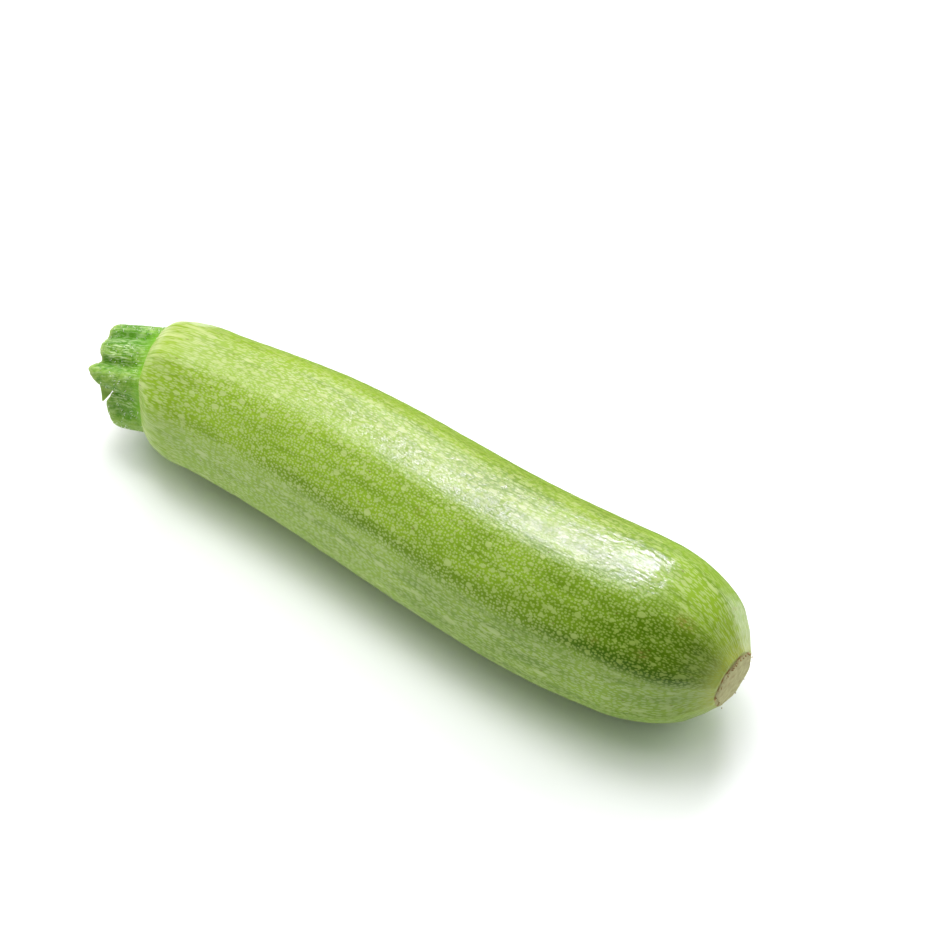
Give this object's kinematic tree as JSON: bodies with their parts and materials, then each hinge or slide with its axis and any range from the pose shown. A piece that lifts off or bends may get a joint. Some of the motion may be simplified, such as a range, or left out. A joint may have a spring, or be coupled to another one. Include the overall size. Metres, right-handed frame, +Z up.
{
  "type": "courgette",
  "caption": "Pale green courgette with low ribs, a torn stub of ridged stem and a corky blossom scar, lying on its side.",
  "frame": {"origin": "under the middle of the whole courgette, on the surface it lies on", "axes": "+X along the fruit from the stem to the blossom end, +Z up, away from the surface it lies on"},
  "size_m": [0.1904, 0.0486, 0.0445],
  "materials": {
    "skin": "smooth waxy vegetable skin, semi-gloss, pale flecks",
    "stem_skin": "matt fibrous plant stem with fine bristles"
  },
  "bodies": {
    "root": {"fruit": "skin", "stem": "stem_skin"}
  },
  "joints": []
}
